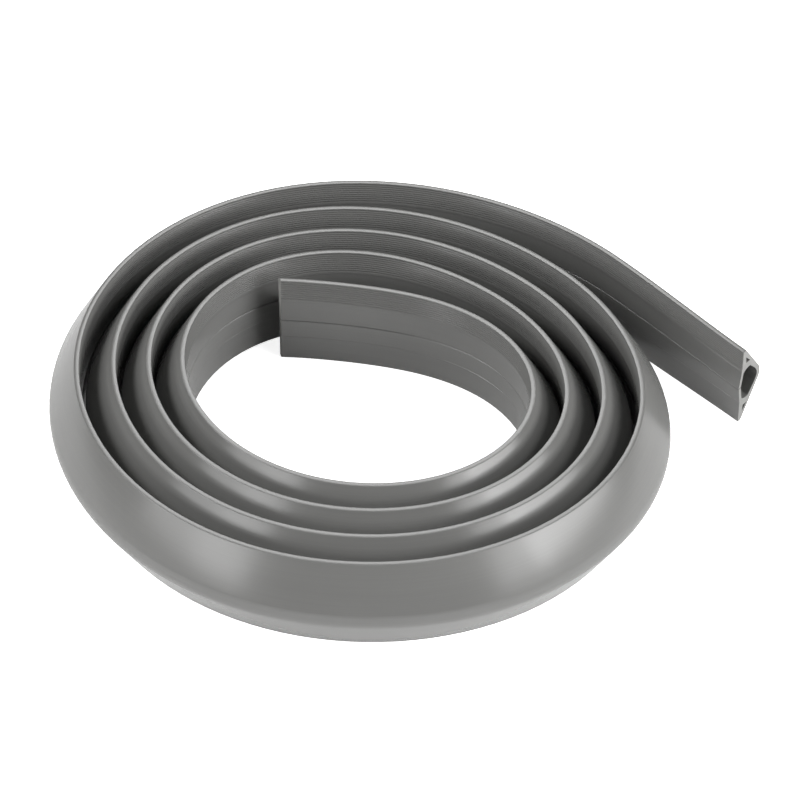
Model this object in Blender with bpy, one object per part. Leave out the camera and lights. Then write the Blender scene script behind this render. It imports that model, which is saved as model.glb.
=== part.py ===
"""A coiled floor cable channel, one extruded strip of grey soft PVC.

The strip stands on its long edge. Its flat, slit base faces the middle of the coil and its
domed side faces out. It makes a little over four turns, from the inner end out, and its
last stretch leaves the coil as a straight tail along +X.

Units are metres, +Z is up, and the origin is the bottom centre of the whole coil's box.
"""
import math

import bmesh
import bpy
from mathutils import Matrix

# Section of the strip: z runs across its 50 mm base, depth runs out from the base face.
WIDTH = 0.050
MIDDLE = 0.5 * WIDTH       # the section is the same above and below this height
DEPTH = 0.016
LIP = 0.0025                # thickness of the two long edges
LIP_CHAMFER = 0.0004
CREST_HALF = 0.0044         # half the height of the domed crest
CREST_RISE = 0.0011         # how far the dome stands out between its two edges
CREST_POINTS = 5
HINGE = 0.014               # height of the groove that each base flap bends at
HINGE_HALF = 0.0006
HINGE_DEPTH = 0.0008
FLAP = 0.002                # thickness of the two flaps that close the duct
SLIT = 0.0245               # height of the slit between the flaps
SLIT_HALF = 0.00015

# Half of the duct, as depth and height, from the flap round to the crest's wall.
DUCT_HALF = ((FLAP, 0.0158), (0.0040, 0.0144), (0.0068, 0.0142), (0.0118, 0.0206), (0.0132, 0.0236))
# The small three-sided hollow beside the duct, as depth and height.
CORE_HOLE = ((0.0030, 0.0059), (0.0062, 0.0098), (0.0034, 0.0098))

# Route of the strip's edge, measured at the middle of its lip, round the coil's centre.
RADIUS = 0.0732             # before the terms below
PITCH = 0.0163              # growth of the radius in each turn
SPREAD = 0.00034            # and how much more it grows in each turn than in the last
OVAL, OVAL_LOSS = 0.00646, 0.00041              # the coil is a little longer one way
OVAL_AT = math.radians(40.0)
LOBE, LOBE_AT = 0.00125, math.radians(7.5)      # and a little three-sided
DRIFT = 0.00053             # its turns creep off centre as they grow
END_IN, END_BEND, END_FADE = 0.00215, 0.0214, 0.7  # the stiff inner end bends less
LOOSE, LOOSE_FROM = 0.00180, math.radians(1400.0)  # the last turn opens out
START = math.radians(-116.4)
INNER_END = math.radians(-4.9)  # how far before that the strip is cut
LEAVE = math.radians(1520.0)    # how far round the strip goes before it leaves the coil
EASE = 0.017                    # length over which the tail's bend dies out
TAIL = 0.0997                   # length of the tail from where it leaves

FIRST_STEP = math.radians(10.6) # brings the stations to the coil's widest points
TURN_STEP = math.radians(10.0)  # one station of the sweep
EASE_STATIONS = 3
FINE = 0.0005                   # step for following the tail's bend

GREY = (0.165, 0.165, 0.16, 1.0)
ROUGHNESS = 0.42
SHARP = math.radians(25.0)      # edges that turn by more than this stay crisp


def clear_scene():
    for item in list(bpy.data.objects):
        bpy.data.objects.remove(item, do_unlink=True)


def soft_grey_pvc():
    material = bpy.data.materials.new("soft_grey_pvc")
    material.use_nodes = True
    shader = material.node_tree.nodes["Principled BSDF"]
    shader.inputs["Base Color"].default_value = GREY
    shader.inputs["Roughness"].default_value = ROUGHNESS
    shader.inputs["Metallic"].default_value = 0.0
    return material


def coil_radius(turned):
    """Distance from the coil's centre after the strip has turned this far."""
    angle = START + turned
    turns = turned / math.tau
    radius = RADIUS + PITCH * turns + SPREAD * turns ** 2 + DRIFT * turns * math.cos(angle)
    radius += (OVAL - OVAL_LOSS * turns) * math.cos(2 * (angle - OVAL_AT))
    radius += LOBE * math.cos(3 * (angle - LOBE_AT))
    radius -= math.exp(-turned / END_FADE) * (END_IN + END_BEND * math.sin(2 * turned))
    return radius + LOOSE * max(turned - LOOSE_FROM, 0.0) ** 2


def coil_point(turned):
    """The strip runs clockwise, seen from above."""
    radius, angle = coil_radius(turned), START + turned
    return radius * math.cos(angle), -radius * math.sin(angle)


def coil_heading(turned, step=1e-4):
    (x0, y0), (x1, y1) = coil_point(turned - step), coil_point(turned + step)
    return math.atan2(y1 - y0, x1 - x0)


def coil_bend(turned, step=1e-3):
    """Curvature of the route, in radians a metre."""
    (x0, y0), (x1, y1) = coil_point(turned - step), coil_point(turned + step)
    change = coil_heading(turned + step) - coil_heading(turned - step)
    return math.remainder(change, math.tau) / math.hypot(x1 - x0, y1 - y0)


def tail_stations():
    """Points of the tail, whose bend dies out over EASE and which then runs straight."""
    x, y = coil_point(LEAVE)
    heading, bend = coil_heading(LEAVE), coil_bend(LEAVE)
    marks = [EASE * k / EASE_STATIONS for k in range(1, EASE_STATIONS + 1)] + [TAIL]
    stations, done = [], 0.0
    for mark in marks:
        steps = round((mark - done) / FINE)
        length = (mark - done) / steps
        for k in range(steps):
            share = min((done + (k + 0.5) * length) / EASE, 1.0)
            heading += bend * (1.0 - share * share * (3.0 - 2.0 * share)) * length
            x += length * math.cos(heading)
            y += length * math.sin(heading)
        done = mark
        stations.append((x, y, heading))
    return stations


def route():
    """Stations of the route as x, y and heading, turned so that the tail runs along +X."""
    first = INNER_END + FIRST_STEP
    count = int((LEAVE - first) / TURN_STEP)
    turned = [INNER_END] + [first + TURN_STEP * k for k in range(count + 1)] + [LEAVE]
    stations = [(*coil_point(t), coil_heading(t)) for t in turned] + tail_stations()
    swing = -stations[-1][2]
    c, s = math.cos(swing), math.sin(swing)
    return [(c * x - s * y, s * x + c * y, heading + swing) for x, y, heading in stations]


def mirrored(points):
    """The same points above the section's middle, in the opposite order."""
    return [(depth, WIDTH - z) for depth, z in reversed(points)]


def crest():
    """The dome, from its lower edge to its upper edge, as points on one arc."""
    radius = (CREST_HALF ** 2 + CREST_RISE ** 2) / (2 * CREST_RISE)
    reach = math.asin(CREST_HALF / radius)
    angles = [reach * (2 * k / (CREST_POINTS - 1) - 1) for k in range(CREST_POINTS)]
    return [(DEPTH - radius * (1 - math.cos(a)), MIDDLE + radius * math.sin(a)) for a in angles]


def section_outline():
    """The closed outline: down the base and round the outside, then in at the slit and round the duct."""
    hinge = [(0.0, HINGE + HINGE_HALF), (HINGE_DEPTH, HINGE), (0.0, HINGE - HINGE_HALF)]
    lip = [(0.0, LIP_CHAMFER), (LIP_CHAMFER, 0.0), (LIP - LIP_CHAMFER, 0.0), (LIP, LIP_CHAMFER)]
    outside = hinge + lip + crest() + mirrored(lip) + mirrored(hinge)
    duct = mirrored(DUCT_HALF[::-1]) + list(DUCT_HALF[::-1])
    top, bottom = SLIT + SLIT_HALF, SLIT - SLIT_HALF
    return [(0.0, bottom), *outside, (0.0, top), (FLAP, top), *duct, (FLAP, bottom)]


def section_loops():
    """Every closed loop of the section: the outline and the two small hollows."""
    return [section_outline(), list(CORE_HOLE), mirrored(CORE_HOLE)]


def draw_section(mesh):
    """The section's loops as edges, for a strip that runs along +X with its base face at the back."""
    for loop in section_loops():
        corners = [mesh.verts.new((0.0, depth - 0.5 * LIP, z)) for depth, z in loop]
        for one, other in zip(corners, corners[1:] + corners[:1]):
            mesh.edges.new((one, other))


def sweep(mesh, stations):
    """Draw the section out along the route, one station at a time, and close both cut ends."""
    frames = [Matrix.Translation((x, y, 0.0)) @ Matrix.Rotation(heading, 4, "Z")
              for x, y, heading in stations]
    bmesh.ops.transform(mesh, matrix=frames[0], verts=mesh.verts)
    ring = first = mesh.edges[:]
    for here, there in zip(frames, frames[1:]):
        drawn = bmesh.ops.extrude_edge_only(mesh, edges=ring)["geom"]
        corners = [item for item in drawn if isinstance(item, bmesh.types.BMVert)]
        ring = [item for item in drawn if isinstance(item, bmesh.types.BMEdge) and item.is_boundary]
        bmesh.ops.transform(mesh, matrix=there @ here.inverted(), verts=corners)
    for end in (first, ring):
        bmesh.ops.triangle_fill(mesh, edges=end, use_beauty=True)
    bmesh.ops.recalc_face_normals(mesh, faces=mesh.faces)


def centre_on_origin(mesh):
    """Put the bottom centre of the strip's box at the origin."""
    middle = [0.5 * (min(v.co[axis] for v in mesh.verts) + max(v.co[axis] for v in mesh.verts))
              for axis in (0, 1)]
    bmesh.ops.translate(mesh, vec=(-middle[0], -middle[1], 0.0), verts=mesh.verts)


def cable_channel():
    mesh = bmesh.new()
    draw_section(mesh)
    sweep(mesh, route())
    centre_on_origin(mesh)
    data = bpy.data.meshes.new("cable_channel")
    mesh.to_mesh(data)
    mesh.free()
    data.shade_smooth()
    data.set_sharp_from_angle(angle=SHARP)
    data.materials.append(soft_grey_pvc())
    return bpy.data.objects.new("cable_channel", data)


def main():
    clear_scene()
    parts = bpy.data.collections.new("coiled_cable_channel")
    bpy.context.scene.collection.children.link(parts)
    parts.objects.link(cable_channel())


main()
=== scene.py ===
# %% [markdown]
# # A coil of floor cable channel
#
# The object is one strip of soft grey PVC, three metres long, that lies across an office floor
# and hides a cable. Here it stands on its long edge, coiled up as it leaves the packet.
# The lesson draws the strip's section once, sweeps it along the coil, shapes its two cut ends
# and gives it a finish that follows the strip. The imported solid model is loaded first. It fixes
# the real size and place, so nothing here is fitted by eye against it.

# %% Load the solid model and keep its box
import math

import bmesh
import bpy
from mathutils import Matrix, Vector


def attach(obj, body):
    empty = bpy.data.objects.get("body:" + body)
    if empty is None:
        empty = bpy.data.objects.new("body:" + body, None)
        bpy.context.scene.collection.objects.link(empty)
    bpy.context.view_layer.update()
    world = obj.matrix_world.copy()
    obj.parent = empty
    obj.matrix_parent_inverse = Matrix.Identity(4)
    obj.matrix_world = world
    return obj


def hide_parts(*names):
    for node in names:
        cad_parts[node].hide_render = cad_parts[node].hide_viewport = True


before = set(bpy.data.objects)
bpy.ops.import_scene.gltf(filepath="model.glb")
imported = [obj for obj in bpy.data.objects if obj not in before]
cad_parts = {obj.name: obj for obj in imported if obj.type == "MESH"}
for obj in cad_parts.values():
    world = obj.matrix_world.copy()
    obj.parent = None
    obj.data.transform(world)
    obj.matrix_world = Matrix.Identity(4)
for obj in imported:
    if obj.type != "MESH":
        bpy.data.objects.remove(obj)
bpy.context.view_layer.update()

MM = 0.001

# %% [markdown]
# ## The route of the coil
#
# A real coil of soft strip isn't a tidy spiral. Its turns are a little oval, the stiff cut end
# at the middle bends less, and the last turn springs open into a straight tail. A curve object
# with hand-set points could follow that, but a short formula for the radius keeps every turn
# smooth and every gap even, so the route is a polar formula with a few named terms. It is the
# same formula that the solid model follows.

# %% The radius of the coil, in metres, after the strip has turned so far
RADIUS = 73.2 * MM          # before the terms below
PITCH = 16.3 * MM           # growth of the radius in each turn
SPREAD = 0.34 * MM          # and how much more it grows in each turn than in the last
OVAL, OVAL_LOSS = 6.46 * MM, 0.41 * MM
OVAL_AT = math.radians(40.0)
LOBE, LOBE_AT = 1.25 * MM, math.radians(7.5)
DRIFT = 0.53 * MM
END_IN, END_BEND, END_FADE = 2.15 * MM, 21.4 * MM, 0.7
LOOSE, LOOSE_FROM = 1.80 * MM, math.radians(1400.0)
START = math.radians(-116.4)
INNER_END = math.radians(-4.9)  # how far before that the strip is cut
LEAVE = math.radians(1520.0)    # where the strip leaves the coil
EASE = 17.0 * MM                # length over which the tail's bend dies out
TAIL = 99.7 * MM                # length of the tail from where it leaves
FINE = 0.5 * MM                 # step for following the tail's bend


def coil_radius(turned):
    angle, turns = START + turned, turned / math.tau
    radius = RADIUS + PITCH * turns + SPREAD * turns ** 2 + DRIFT * turns * math.cos(angle)
    radius += (OVAL - OVAL_LOSS * turns) * math.cos(2 * (angle - OVAL_AT))
    radius += LOBE * math.cos(3 * (angle - LOBE_AT))
    radius -= math.exp(-turned / END_FADE) * (END_IN + END_BEND * math.sin(2 * turned))
    return radius + LOOSE * max(turned - LOOSE_FROM, 0.0) ** 2


def coil_point(turned):
    """The strip runs clockwise, seen from above."""
    radius, angle = coil_radius(turned), START + turned
    return radius * math.cos(angle), -radius * math.sin(angle)


def coil_heading(turned, step=1e-4):
    (x0, y0), (x1, y1) = coil_point(turned - step), coil_point(turned + step)
    return math.atan2(y1 - y0, x1 - x0)


def coil_bend(turned, step=1e-3):
    """Curvature of the route, in radians a metre."""
    (x0, y0), (x1, y1) = coil_point(turned - step), coil_point(turned + step)
    change = coil_heading(turned + step) - coil_heading(turned - step)
    return math.remainder(change, math.tau) / math.hypot(x1 - x0, y1 - y0)


print("radius at the inner end, mm:", round(coil_radius(INNER_END) / MM, 1))
print("radius where the tail leaves, mm:", round(coil_radius(LEAVE) / MM, 1))

# %% [markdown]
# ## Stations of the sweep
#
# A station is a point of the route with its heading. The solid model has a station every
# 10 degrees. The visible strip has three times as many, so that its turns look round, and a
# few close together at both cuts, where the soft edge is rolled over.

# %% Stations along the coil and its tail
FIRST = INNER_END + math.radians(10.6)      # the solid model's first whole station
COARSE, SMOOTH = math.radians(10.0), math.radians(10.0) / 3
EDGE_MARKS = (0.2 * MM, 0.5 * MM, 1.0 * MM)     # stations behind each cut
EASE_STATIONS, TAIL_STATIONS = 3, 14


def coil_turns(step, after=INNER_END):
    """Where the coil's stations lie, in step with FIRST and at least half a step after the cut."""
    lowest = math.ceil((after - FIRST) / step + 0.5)
    return [FIRST + step * k for k in range(lowest, int((LEAVE - FIRST) / step) + 1)]


def tail_stations(marks):
    x, y = coil_point(LEAVE)
    heading, bend = coil_heading(LEAVE), coil_bend(LEAVE)
    stations, done = [], 0.0
    for mark in marks:
        steps = max(round((mark - done) / FINE), 1)
        length = (mark - done) / steps
        for k in range(steps):
            share = min((done + (k + 0.5) * length) / EASE, 1.0)
            heading += bend * (1.0 - share * share * (3.0 - 2.0 * share)) * length
            x += length * math.cos(heading)
            y += length * math.sin(heading)
        done = mark
        stations.append((x, y, heading))
    return stations


def route(turns, marks):
    """Stations as x, y and heading, turned so that the tail runs along +X, and that turn."""
    stations = [(*coil_point(turned), coil_heading(turned)) for turned in turns]
    stations += tail_stations(marks)
    swing = -stations[-1][2]
    c, s = math.cos(swing), math.sin(swing)
    return [(c * x - s * y, s * x + c * y, heading + swing) for x, y, heading in stations], swing


ease_marks = [EASE * k / EASE_STATIONS for k in range(1, EASE_STATIONS + 1)]
coarse, swing = route([INNER_END, *coil_turns(COARSE), LEAVE], [*ease_marks, TAIL])

edge_turns = [INNER_END + mark / coil_radius(INNER_END) for mark in (0.0, *EDGE_MARKS)]
smooth_turns = [*edge_turns, *coil_turns(SMOOTH, edge_turns[-1]), LEAVE]
leaving_marks = [ease_marks[0] / 3, ease_marks[0] * 2 / 3]
straight_marks = [EASE + (TAIL - EDGE_MARKS[-1] - EASE) * k / TAIL_STATIONS
                  for k in range(1, TAIL_STATIONS + 1)]
edge_marks = [TAIL - mark for mark in (*EDGE_MARKS[-2::-1], 0.0)]
smooth, _ = route(smooth_turns, leaving_marks + ease_marks + straight_marks + edge_marks)
print("stations:", len(smooth), " the tail was turned by", round(math.degrees(swing), 2), "degrees")

# %% [markdown]
# ## The section of the strip
#
# The section is a low roof, 50 mm wide and 16 mm deep. Under its crest lies the duct, closed by
# two thin flaps that meet at a slit and bend at two fine hinge grooves. A small three-sided
# hollow on each side saves material. The base has nine fine ribs along one edge, which help a
# tape or an adhesive to hold, and the lips are rounded. It could be traced as a curve object,
# but flat faces in a mesh let the bevel operator round its corners, so that is used.
# Depth runs out from the base face and height runs across the base.

# %% Sizes of the section
WIDTH, DEPTH = 50.0 * MM, 16.0 * MM
MIDDLE = 0.5 * WIDTH
INSET = 0.12 * MM           # the round crest keeps inside the solid model's flat-sided one
LIP = 2.5 * MM
CREST_HALF, CREST_RISE, CREST_POINTS = 4.4 * MM, 1.1 * MM, 11
HINGE, HINGE_HALF = 14.0 * MM, 0.10 * MM
LOW_HINGE_DEPTH, HIGH_HINGE_DEPTH = 0.12 * MM, 0.02 * MM    # the upper flap hardly moves
FLAP, SLIT, SLIT_HALF = 2.0 * MM, 24.5 * MM, 0.2 * MM
DUCT_HALF = ((FLAP, 15.8 * MM), (4.0 * MM, 14.4 * MM), (6.8 * MM, 14.2 * MM),
             (11.8 * MM, 20.6 * MM), (13.2 * MM, 23.6 * MM))
CORE_HOLE = ((3.0 * MM, 5.9 * MM), (6.2 * MM, 9.8 * MM), (3.4 * MM, 9.8 * MM))
GROOVES, GROOVE_PITCH, GROOVE_DEPTH = 9, 1.31 * MM, 0.30 * MM
GROOVES_TOP = WIDTH - 0.5 * MM
LIP_ROUND, DUCT_ROUND, HOLE_ROUND, SLIT_ROUND = 0.25 * MM, 0.6 * MM, 0.2 * MM, 0.9 * MM


def mirrored(points):
    """The same points above the section's middle, in the opposite order."""
    return [(depth, WIDTH - z) for depth, z in reversed(points)]


def crest():
    """The dome, from its lower edge to its upper edge, as points on one arc."""
    radius = (CREST_HALF ** 2 + CREST_RISE ** 2) / (2 * CREST_RISE)
    reach = math.asin(CREST_HALF / radius)
    angles = [reach * (2 * k / (CREST_POINTS - 1) - 1) for k in range(CREST_POINTS)]
    return [(DEPTH - INSET - radius * (1 - math.cos(a)), MIDDLE + radius * math.sin(a))
            for a in angles]


def hinge(depth):
    return [(0.0, HINGE + HINGE_HALF), (depth, HINGE), (0.0, HINGE - HINGE_HALF)]


LIP_CORNERS = [(0.0, 0.0), (LIP, 0.0)]
SLIT_TOP, SLIT_BOTTOM = SLIT + SLIT_HALF, SLIT - SLIT_HALF
GROOVES_END = GROOVES_TOP - GROOVES * GROOVE_PITCH
duct = mirrored(DUCT_HALF[::-1]) + list(DUCT_HALF[::-1])
outline = [(0.0, SLIT_BOTTOM), *hinge(LOW_HINGE_DEPTH), *LIP_CORNERS, *crest(),
           *mirrored(LIP_CORNERS), (0.0, GROOVES_TOP), (0.0, GROOVES_END),
           *mirrored(hinge(HIGH_HINGE_DEPTH)), (0.0, SLIT_TOP), (FLAP, SLIT_TOP), *duct,
           (FLAP, SLIT_BOTTOM)]
print("corners of the outline before rounding:", len(outline))

# %% Draw it as flat faces, round the corners and press the grooves
SAME_PLACE = 0.001 * MM         # two points nearer than this are one corner


def section_place(depth, height):
    """The strip's own middle line runs through the middle of its lips."""
    return Vector((0.0, depth - 0.5 * LIP, height))


def draw_face(mesh, corners):
    return mesh.faces.new([mesh.verts.new(section_place(*corner)) for corner in corners])


def round_corners(mesh, corners, radius, segments):
    places = [section_place(*corner) for corner in corners]
    found = [v for v in mesh.verts if any((v.co - place).length < SAME_PLACE for place in places)]
    bmesh.ops.bevel(mesh, geom=found, offset=radius, offset_type="OFFSET", segments=segments,
                    profile=0.5, affect="VERTICES", material=-1)


def press_grooves(mesh):
    """Four edges to a groove: down to its floor in two steps and up again in two."""
    ends = [section_place(0.0, GROOVES_TOP), section_place(0.0, GROOVES_END)]
    edge = next(e for e in mesh.edges if all(min((v.co - end).length for end in ends) < SAME_PLACE
                                             for v in e.verts))
    cut = bmesh.ops.subdivide_edges(mesh, edges=[edge], cuts=4 * GROOVES - 1)
    inner = sorted((v for v in cut["geom_inner"] if isinstance(v, bmesh.types.BMVert)),
                   key=lambda v: -v.co.z)
    for k, vertex in enumerate(inner, start=1):
        vertex.co.y += GROOVE_DEPTH * (0.0, 0.5, 1.0, 0.5)[k % 4]


def draw_section(mesh):
    for corners in (outline, CORE_HOLE, mirrored(CORE_HOLE)):
        draw_face(mesh, corners)
    round_corners(mesh, LIP_CORNERS + mirrored(LIP_CORNERS), LIP_ROUND, 3)
    round_corners(mesh, duct, DUCT_ROUND, 2)
    round_corners(mesh, list(CORE_HOLE) + mirrored(CORE_HOLE), HOLE_ROUND, 1)
    round_corners(mesh, [(0.0, SLIT_BOTTOM)], SLIT_ROUND, 3)
    press_grooves(mesh)
    bmesh.ops.delete(mesh, geom=mesh.faces[:], context="FACES_ONLY")


# %% [markdown]
# ## Sweeping the section
#
# The section's edges are extruded from station to station, and each new ring is carried to its
# place by one matrix. Every vertex also remembers where it would be on the strip laid out
# straight: how far along, how deep, how high. The finish reads that place, so that its fine
# lines run round the coil with the strip, as the lines of a die do.

# %% Sweep the strip
def station_matrices(stations, shift):
    return [Matrix.Translation((x - shift[0], y - shift[1], 0.0)) @ Matrix.Rotation(heading, 4, "Z")
            for x, y, heading in stations]


def coil_middle(stations):
    """The middle of the solid model's box, which it has at the origin."""
    reach = [(x - side * math.sin(heading), y + side * math.cos(heading))
             for x, y, heading in stations for side in (-0.5 * LIP, DEPTH - 0.5 * LIP)]
    return [0.5 * (min(p[axis] for p in reach) + max(p[axis] for p in reach)) for axis in (0, 1)]


def sweep(mesh, matrices):
    straight = mesh.verts.layers.float_vector["straight"]
    bmesh.ops.transform(mesh, matrix=matrices[0], verts=mesh.verts)
    ring = first = mesh.edges[:]
    along = 0.0
    for here, there in zip(matrices, matrices[1:]):
        along += (there.translation - here.translation).length
        drawn = bmesh.ops.extrude_edge_only(mesh, edges=ring)["geom"]
        corners = [item for item in drawn if isinstance(item, bmesh.types.BMVert)]
        ring = [item for item in drawn if isinstance(item, bmesh.types.BMEdge) and item.is_boundary]
        bmesh.ops.transform(mesh, matrix=there @ here.inverted(), verts=corners)
        for corner in corners:
            corner[straight] = (along, *corner[straight][1:])
    for end in (first, ring):
        filled = bmesh.ops.triangle_fill(mesh, edges=end, use_beauty=True)["geom"]
        for face in filled:
            if isinstance(face, bmesh.types.BMFace):
                face.material_index = 1
    bmesh.ops.recalc_face_normals(mesh, faces=mesh.faces)
    return along


middle = coil_middle(coarse)
matrices = station_matrices(smooth, middle)
channel = bmesh.new()
straight = channel.verts.layers.float_vector.new("straight")
draw_section(channel)
for vertex in channel.verts:
    vertex[straight] = (0.0, vertex.co.y + 0.5 * LIP, vertex.co.z)
print("points of the section:", len(channel.verts))
length = sweep(channel, matrices)
print("length of the strip, m:", round(length, 3), " faces:", len(channel.faces))

# %% [markdown]
# ## The cut ends
#
# The strip is cut by hand with shears, so neither cut is square and the soft edge is rolled over
# a little. At the tail the duct's flaps, which the coil holds flat, spring open, and the strip
# leans. A lattice could bend the ends, but each of these is a simple push of every vertex by
# where it lies on the strip, so the remembered places do it directly.

# %% Soft steps and shares
def soft_step(value):
    """0 to 1 with soft ends, as the value goes from 0 to 1."""
    value = min(max(value, 0.0), 1.0)
    return value * value * (3.0 - 2.0 * value)


def flap_share(depth, height):
    """1 at the slit and 0 from both hinges on. Behind the flaps it fades out over their own depth."""
    reach = (WIDTH - HINGE - SLIT) if height > SLIT else (SLIT - HINGE)
    skin = min(max(2.0 - depth / FLAP, 0.0), 1.0)
    return skin * max(1.0 - abs(height - SLIT) / reach, 0.0)


# %% Roll the edges of both cuts over
ROLL = 0.12 * MM            # how far the section draws in at the cut itself


def roll_edges(mesh, matrices):
    straight = mesh.verts.layers.float_vector["straight"]
    mesh.normal_update()
    moves = []
    for vertex in mesh.verts:
        along = vertex[straight][0]
        behind = min(along, length - along)
        if behind > EDGE_MARKS[-1]:
            continue
        onward = matrices[0 if along < 0.5 * length else -1].to_3x3() @ Vector((1.0, 0.0, 0.0))
        out = vertex.normal - onward * vertex.normal.dot(onward)
        share = 1.0 - math.sqrt(max(1.0 - (1.0 - behind / EDGE_MARKS[-1]) ** 2, 0.0))
        moves.append((vertex, out.normalized() * ROLL * share))
    for vertex, move in moves:
        vertex.co -= move
    return len(moves)


print("vertices rolled in:", roll_edges(channel, matrices))

# %% Open the tail's flaps, lean it and slant both cuts
# Each push has its own size, and a reach: the length of strip over which it grows up to the cut.
FLAP_OPEN, FLAP_REACH = 1.3 * MM, 75.0 * MM
LEAN, LEAN_REACH = 3.8 * MM, 85.0 * MM      # the top edge against the bottom edge
TAIL_CUT_LOW, TAIL_CUT_CREST, TAIL_CUT_REACH = 4.0 * MM, 2.7 * MM, 18.0 * MM
INNER_CUT_LOW, INNER_CUT_HIGH, INNER_CUT_REACH = 0.7 * MM, 1.6 * MM, 12.0 * MM


def shape_tail(mesh):
    """The tail runs along +X, with its base face towards -Y. Its crest rises as it leans."""
    straight = mesh.verts.layers.float_vector["straight"]
    for vertex in mesh.verts:
        along, depth, height = vertex[straight]
        behind = length - along
        opened = FLAP_OPEN * soft_step(1.0 - behind / FLAP_REACH) * flap_share(depth, height)
        tilt = LEAN / WIDTH * soft_step(1.0 - behind / LEAN_REACH)
        slant = TAIL_CUT_LOW * (1.0 - height / WIDTH) + TAIL_CUT_CREST * depth / DEPTH
        vertex.co += Vector((-slant * soft_step(1.0 - behind / TAIL_CUT_REACH),
                             tilt * (MIDDLE - height) - opened,
                             tilt * max(depth - LIP, 0.0)))


def shape_inner_end(mesh):
    """The base face is cut back, more at its top. The push dies out over the lip's thickness."""
    straight = mesh.verts.layers.float_vector["straight"]
    onward = matrices[0].to_3x3() @ Vector((1.0, 0.0, 0.0))
    for vertex in mesh.verts:
        along, depth, height = vertex[straight]
        slant = INNER_CUT_LOW + (INNER_CUT_HIGH - INNER_CUT_LOW) * height / WIDTH
        share = max(1.0 - depth / LIP, 0.0) * soft_step(1.0 - along / INNER_CUT_REACH)
        vertex.co += onward * slant * share


shape_tail(channel)
shape_inner_end(channel)
print("the tail's cut slants by", round((TAIL_CUT_LOW + TAIL_CUT_CREST) / MM, 1), "mm in all")

# %% Make the visible piece
CRISP = math.radians(40.0)      # edges that turn by more than this stay crisp


def finished_piece(mesh, name):
    data = bpy.data.meshes.new(name)
    mesh.to_mesh(data)
    mesh.free()
    data.shade_smooth()
    data.set_sharp_from_angle(angle=CRISP)
    piece = bpy.data.objects.new(name, data)
    bpy.context.scene.collection.objects.link(piece)
    return piece


strip = finished_piece(channel, "channel_strip")
print("triangles:", sum(len(p.vertices) - 2 for p in strip.data.polygons))

# %% [markdown]
# ## Soft PVC
#
# Soft PVC comes out of the die with a low satin sheen and faint lines along its length. The
# colour is even, with a slow change of shade where the plastic cooled. An image could paint that,
# but the lines have to follow the coil, so the shader reads each point's place on the straight
# strip and stretches its noise along it. Where the shears went through, the plastic is matt and
# a little lighter.

# %% Shader arithmetic
class Signal:
    """One socket of a material's nodes. Arithmetic on it adds Math nodes."""

    def __init__(self, tree, socket=None):
        self.tree, self.socket = tree, socket

    def node(self, kind, settings=(), inputs=(), output=0):
        """Any node: its settings first, then the values or links of its sockets."""
        made = self.tree.nodes.new(kind)
        for name, value in dict(settings).items():
            setattr(made, name, value)
        for name, value in dict(inputs).items():
            if isinstance(value, Signal):
                self.tree.links.new(value.socket, made.inputs[name])
            else:
                made.inputs[name].default_value = value
        return Signal(self.tree, made.outputs[output])

    def maths(self, operation, first, second):
        return self.node("ShaderNodeMath", {"operation": operation}, {0: first, 1: second})

    def __add__(self, other):
        return self.maths("ADD", self, other)

    def __sub__(self, other):
        return self.maths("SUBTRACT", self, other)

    def __rsub__(self, other):
        return self.maths("SUBTRACT", other, self)

    def __mul__(self, other):
        return self.maths("MULTIPLY", self, other)

    __radd__, __rmul__ = __add__, __mul__


# %% Colours and noise along the strip
PVC_GREY = (0.165, 0.165, 0.160)
CUT_GREY = (0.23, 0.23, 0.222)


def shade_of(colour, factor):
    return (*[factor * channel for channel in colour], 1.0)


def start_material(name):
    material = bpy.data.materials.new(name)
    material.use_nodes = True
    tree = material.node_tree
    return material, tree.nodes["Principled BSDF"], Signal(tree)


def stretched_noise(place, features, detail):
    """Noise with so many features a metre along each axis of the place that it reads."""
    scaled = place.node("ShaderNodeVectorMath", {"operation": "MULTIPLY"}, {0: place, 1: features})
    return place.node("ShaderNodeTexNoise", {}, {"Vector": scaled, "Scale": 1.0, "Detail": detail})


def tinted(noise, colour, spread):
    """The colour, darker by that share where the noise is 0 and lighter by it where it is 1."""
    return noise.node("ShaderNodeMixRGB", {}, {"Fac": noise, "Color1": shade_of(colour, 1.0 - spread),
                                               "Color2": shade_of(colour, 1.0 + spread)})


def bumped(height, distance, strength):
    return height.node("ShaderNodeBump", {}, {"Height": height, "Distance": distance,
                                              "Strength": strength})


def link(signal, shader, socket):
    signal.tree.links.new(signal.socket, shader.inputs[socket])


# %% The skin that leaves the die
DIE_LINES = (9.0, 1400.0, 1400.0)           # features a metre along the strip, deep and high
COOLING = (14.0, 45.0, 45.0)
GRAIN = (2600.0, 2600.0, 2600.0)
TINT_BY_COOLING, TINT_BY_LINES, SKIN_TINT = 0.6, 0.4, 0.12
RELIEF_OF_LINES, RELIEF_OF_GRAIN = 0.8, 0.2
SKIN_BUMP, SKIN_BUMP_STRENGTH = 0.03 * MM, 0.5
SHEEN_LOW, SHEEN_SPREAD = 0.19, 0.05        # roughness, and what each noise adds to it at most


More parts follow.
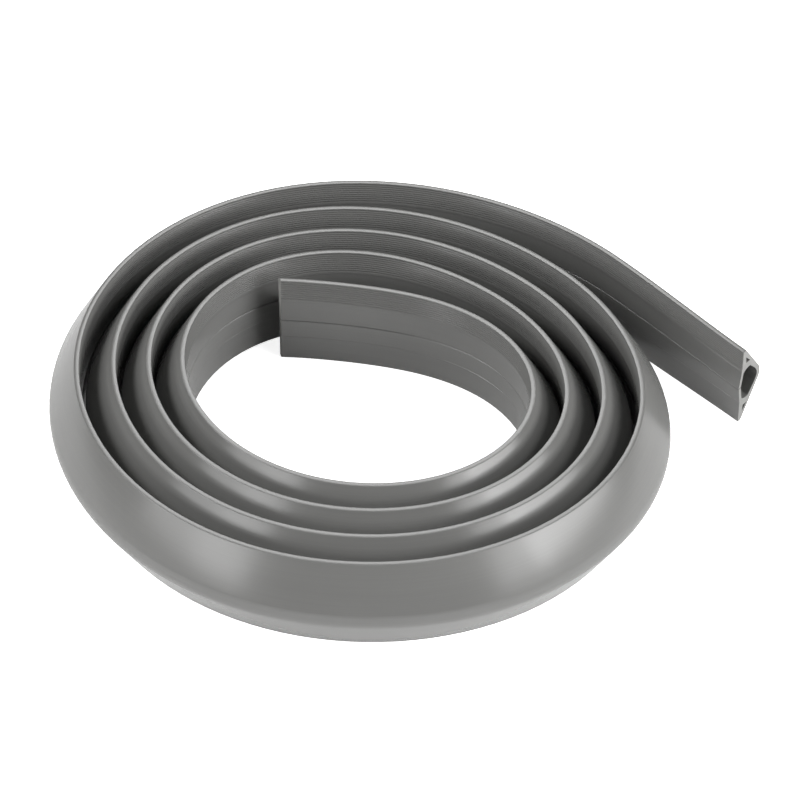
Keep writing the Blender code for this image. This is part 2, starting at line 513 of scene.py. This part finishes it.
def skin_material():
    material, shader, pvc = start_material("soft_pvc_skin")
    place = pvc.node("ShaderNodeAttribute", {"attribute_name": "straight"}, output="Vector")
    die_lines = stretched_noise(place, DIE_LINES, 2.0)
    cooling = stretched_noise(place, COOLING, 1.0)
    grain = stretched_noise(place, GRAIN, 3.0)
    shade = cooling * TINT_BY_COOLING + die_lines * TINT_BY_LINES
    link(tinted(shade, PVC_GREY, SKIN_TINT), shader, "Base Color")
    link(cooling * SHEEN_SPREAD + die_lines * SHEEN_SPREAD + SHEEN_LOW, shader, "Roughness")
    relief = die_lines * RELIEF_OF_LINES + grain * RELIEF_OF_GRAIN
    link(bumped(relief, SKIN_BUMP, SKIN_BUMP_STRENGTH), shader, "Normal")
    return material


strip.data.materials.append(skin_material())

# %% The cut faces
SHEAR_MARKS = (120.0, 120.0, 700.0)         # features a metre, closest together up and down
CUT_TINT = 0.15
CUT_BUMP, CUT_BUMP_STRENGTH = 0.06 * MM, 0.6
CUT_ROUGH, CUT_ROUGH_SPREAD = 0.55, 0.15


def cut_material():
    material, shader, pvc = start_material("soft_pvc_cut")
    drag = stretched_noise(pvc.node("ShaderNodeTexCoord", output="Object"), SHEAR_MARKS, 3.0)
    link(tinted(drag, CUT_GREY, CUT_TINT), shader, "Base Color")
    link(drag * CUT_ROUGH_SPREAD + CUT_ROUGH, shader, "Roughness")
    link(bumped(drag, CUT_BUMP, CUT_BUMP_STRENGTH), shader, "Normal")
    return material


strip.data.materials.append(cut_material())
print("finishes:", [material.name for material in strip.data.materials])

# %% Hand the piece to the frame
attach(strip, "root")
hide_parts("cable_channel")

# %% [markdown]
# ## Floor, light and camera
#
# The strip is shown as in a catalogue, on a white floor that lights it from below. Lamps could
# make the floor white, but they would also flood the dark gaps of the coil. So the floor shines
# by itself, only outside the coil, and the camera sees it whiter than the strip does. A long
# lens stands high in front, and softboxes on both sides draw the soft bands of light that run
# round the turns.

# %% The floor
FLOOR_GLOW, FLOOR_WHITE = 0.35, 0.8   # its own light, and what more the camera sees of it
GLOW_FROM = 140.0 * MM                # the floor's own light starts under the outer turn
FLOOR_HALF = 6.0                      # metres
FLOOR_BELOW = 0.2 * MM                # the strip's lower edge stays clear of it
FLOOR_GREY, FLOOR_ROUGH = 0.9, 0.9

floor_mesh = bmesh.new()
bmesh.ops.create_grid(floor_mesh, x_segments=1, y_segments=1, size=FLOOR_HALF)
floor_data = bpy.data.meshes.new("floor")
floor_mesh.to_mesh(floor_data)
floor_mesh.free()
floor = bpy.data.objects.new("floor", floor_data)
bpy.context.scene.collection.objects.link(floor)
floor_paint, floor_shader, paint = start_material("pale_floor")
floor_shader.inputs["Base Color"].default_value = (FLOOR_GREY, FLOOR_GREY, FLOOR_GREY, 1.0)
floor_shader.inputs["Roughness"].default_value = FLOOR_ROUGH
floor_shader.inputs["Emission Color"].default_value = (1.0, 1.0, 1.0, 1.0)
seen = paint.node("ShaderNodeLightPath", output="Is Camera Ray")
floor_place = paint.node("ShaderNodeTexCoord", output="Object")
from_middle = paint.node("ShaderNodeVectorMath", {"operation": "LENGTH"}, {0: floor_place}, "Value")
glowing = paint.maths("GREATER_THAN", from_middle, GLOW_FROM)
link(seen * FLOOR_WHITE + glowing * FLOOR_GLOW, floor_shader, "Emission Strength")
floor_data.materials.append(floor_paint)
floor.location.z = -FLOOR_BELOW
print("the floor shines from", round(GLOW_FROM / MM), "mm outwards")

# %% The camera
PHOTO = 800.0                   # width of the photograph's frame, in its own pixels
FOCAL_PIXELS = 4000.0           # the lens, in the same pixels
PIXELS_PER_METRE = 2002.4       # at the point that the camera looks at
ELEVATION = math.radians(41.5)
SENSOR = 36.0                   # width in the editor's own millimetres
LOOK_X, LOOK_Y = 18.67 * MM, 35.20 * MM     # from the coil's own centre, to the right and away

camera_data = bpy.data.cameras.new("camera")
camera_data.sensor_width = SENSOR
camera_data.lens = FOCAL_PIXELS / PHOTO * SENSOR
camera = bpy.data.objects.new("camera", camera_data)
bpy.context.scene.collection.objects.link(camera)
bpy.context.scene.camera = camera
distance = FOCAL_PIXELS / PIXELS_PER_METRE
turn = Matrix.Rotation(swing, 3, "Z")
look_at = turn @ Vector((LOOK_X, LOOK_Y, 0.0)) - Vector((*middle, 0.0))
away = turn @ Vector((0.0, -math.cos(ELEVATION), math.sin(ELEVATION)))
camera.location = look_at + distance * away
camera.rotation_euler = (-away).to_track_quat("-Z", "Y").to_euler()
print("camera", round(distance, 3), "m away")

# %% Softboxes
LIGHT_REACH, LIGHT_SIZE = 1.8, 0.6          # metres


def softbox(name, azimuth, elevation, power):
    """A square light that faces the coil. Azimuth is to the right of the camera's own side."""
    lamp = bpy.data.lights.new(name, "AREA")
    lamp.shape, lamp.size, lamp.energy = "SQUARE", LIGHT_SIZE, power
    light = bpy.data.objects.new(name, lamp)
    bpy.context.scene.collection.objects.link(light)
    a, e = math.radians(azimuth), math.radians(elevation)
    out = turn @ Vector((math.sin(a) * math.cos(e), -math.cos(a) * math.cos(e), math.sin(e)))
    light.location = LIGHT_REACH * out
    light.rotation_euler = out.to_track_quat("Z", "Y").to_euler()


SOFTBOXES = {                               # azimuth and elevation in degrees, watts
    "left_key": (-50.0, 20.0, 7.5), "left_side": (-70.0, 20.0, 4.5), "left_high": (-90.0, 45.0, 12.5),
    "left_lamp": (-60.0, 45.0, 4.0), "right_near": (50.0, 20.0, 6.0), "right_key": (65.0, 20.0, 10.0),
    "right_side": (85.0, 20.0, 9.0), "right_high": (90.0, 45.0, 7.0), "right_lamp": (60.0, 45.0, 4.5),
    "back_high": (180.0, 45.0, 7.0), "top": (0.0, 85.0, 2.0)}

for name, (azimuth, elevation, power) in SOFTBOXES.items():
    softbox(name, azimuth, elevation, power)
print("softboxes:", len(SOFTBOXES))

world = bpy.data.worlds.new("studio")
world.use_nodes = True
world.node_tree.nodes["Background"].inputs["Strength"].default_value = 0.0
bpy.context.scene.world = world
bpy.context.scene.view_settings.view_transform = "Standard"
